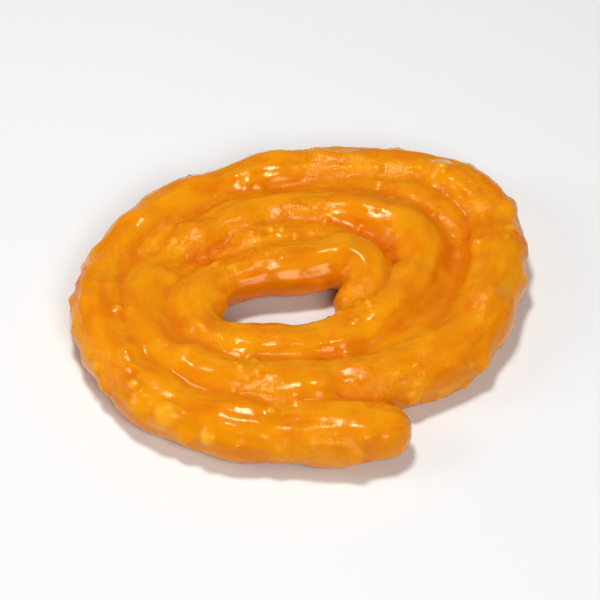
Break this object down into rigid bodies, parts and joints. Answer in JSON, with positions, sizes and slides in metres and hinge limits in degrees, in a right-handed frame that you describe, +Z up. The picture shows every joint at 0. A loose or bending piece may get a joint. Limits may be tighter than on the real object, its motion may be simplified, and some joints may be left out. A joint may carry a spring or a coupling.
{
  "type": "jalebi",
  "caption": "Flat oval coil of piped, fried and syrup-soaked batter with an open middle, lying on its flat underside.",
  "frame": {"origin": "on the table under the middle of the coil's box", "axes": "+Z up through the open middle; +X along the longer way across; -Y towards the front, where the strand's outer end is"},
  "size_m": [0.0908, 0.0855, 0.0112],
  "materials": {
    "syrup_soaked_batter": "saffron-orange fried batter with a glossy film of sugar syrup"
  },
  "bodies": {
    "root": {"jalebi": "syrup_soaked_batter"}
  },
  "joints": []
}
